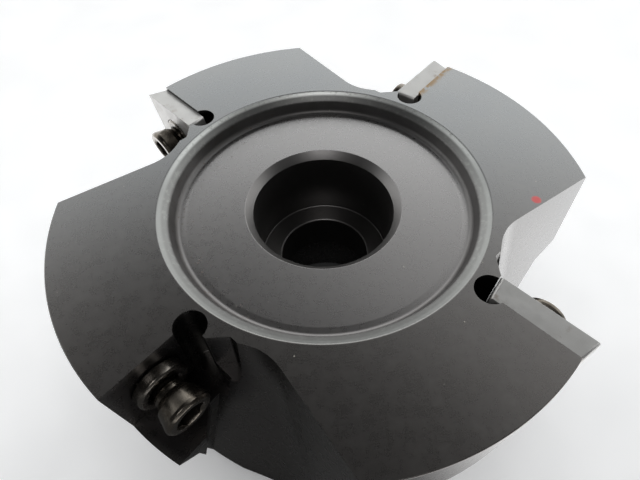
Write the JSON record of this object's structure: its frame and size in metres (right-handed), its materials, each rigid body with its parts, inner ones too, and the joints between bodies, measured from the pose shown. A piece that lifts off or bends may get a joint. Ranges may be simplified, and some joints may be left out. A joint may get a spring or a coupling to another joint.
{
  "type": "face mill",
  "caption": "Right-hand shell face mill with square carbide inserts, each held by a clamp washer and a tapering hex-socket screw; one seat stands empty",
  "frame": {"origin": "on the spindle axis at the back (arbor) face", "axes": "+Z along the spindle axis towards the cutting face; +X along the drive keyslot"},
  "size_m": [0.0762, 0.0761, 0.0381],
  "materials": {
    "cutter_body": "satin",
    "insert": "satin",
    "clamp_washer": "satin",
    "clamp_screw": "satin"
  },
  "bodies": {
    "cutter": {"cutter_body": "cutter_body"},
    "washer_a": {"clamp_washer_a": "clamp_washer"},
    "screw_a": {"clamp_screw_a": "clamp_screw"},
    "insert_body_a": {"insert_a": "insert"},
    "washer_b": {"clamp_washer_b": "clamp_washer"},
    "screw_b": {"clamp_screw_b": "clamp_screw"},
    "insert_body_b": {"insert_b": "insert"},
    "washer_c": {"clamp_washer_c": "clamp_washer"},
    "screw_c": {"clamp_screw_c": "clamp_screw"},
    "insert_body_c": {"insert_c": "insert"},
    "washer_d": {"clamp_washer_d": "clamp_washer"},
    "screw_d": {"clamp_screw_d": "clamp_screw"}
  },
  "joints": [
    {"name": "washer_slide_a", "type": "slide", "parent": "cutter", "child": "washer_a", "axis": [-0.719, -0.6895, -0.0872], "range_m": [0, 0.0028]},
    {"name": "screw_spin_a", "type": "hinge", "parent": "washer_a", "child": "screw_a", "pos_m": [-0.02696, 0.01911, 0.03143], "axis": [-0.719, -0.6895, -0.0872], "range_deg": [0, 1441]},
    {"name": "insert_slide_a", "type": "slide", "parent": "cutter", "child": "insert_body_a", "axis": [-0.719, -0.6895, -0.0872], "range_m": [0, 0.0029]},
    {"name": "washer_slide_b", "type": "slide", "parent": "cutter", "child": "washer_b", "axis": [-0.753, 0.6522, -0.0872], "range_m": [0, 0.0028]},
    {"name": "screw_spin_b", "type": "hinge", "parent": "washer_b", "child": "screw_b", "pos_m": [0.01653, 0.02861, 0.03143], "axis": [-0.753, 0.6522, -0.0872], "range_deg": [0, 1441]},
    {"name": "insert_slide_b", "type": "slide", "parent": "cutter", "child": "insert_body_b", "axis": [-0.753, 0.6522, -0.0872], "range_m": [0, 0.0029]},
    {"name": "washer_slide_c", "type": "slide", "parent": "cutter", "child": "washer_c", "axis": [0.7154, 0.6933, -0.0872], "range_m": [0, 0.0028]},
    {"name": "screw_spin_c", "type": "hinge", "parent": "washer_c", "child": "screw_c", "pos_m": [0.02706, -0.01896, 0.03143], "axis": [0.7154, 0.6933, -0.0872], "range_deg": [0, 1441]},
    {"name": "insert_slide_c", "type": "slide", "parent": "cutter", "child": "insert_body_c", "axis": [0.7154, 0.6933, -0.0872], "range_m": [0, 0.0029]},
    {"name": "washer_slide_d", "type": "slide", "parent": "cutter", "child": "washer_d", "axis": [0.7356, -0.6717, -0.0872], "range_m": [0, 0.0028]},
    {"name": "screw_spin_d", "type": "hinge", "parent": "washer_d", "child": "screw_d", "pos_m": [-0.01728, -0.02817, 0.03143], "axis": [0.7356, -0.6717, -0.0872], "range_deg": [0, 1441]}
  ],
  "couplings": [
    {"joint": "screw_spin_a", "follows": "washer_slide_a", "rad_per_m": 8976},
    {"joint": "insert_slide_a", "follows": "washer_slide_a", "ratio": 1},
    {"joint": "screw_spin_b", "follows": "washer_slide_b", "rad_per_m": 8976},
    {"joint": "insert_slide_b", "follows": "washer_slide_b", "ratio": 1},
    {"joint": "screw_spin_c", "follows": "washer_slide_c", "rad_per_m": 8976},
    {"joint": "insert_slide_c", "follows": "washer_slide_c", "ratio": 1},
    {"joint": "screw_spin_d", "follows": "washer_slide_d", "rad_per_m": 8976}
  ]
}
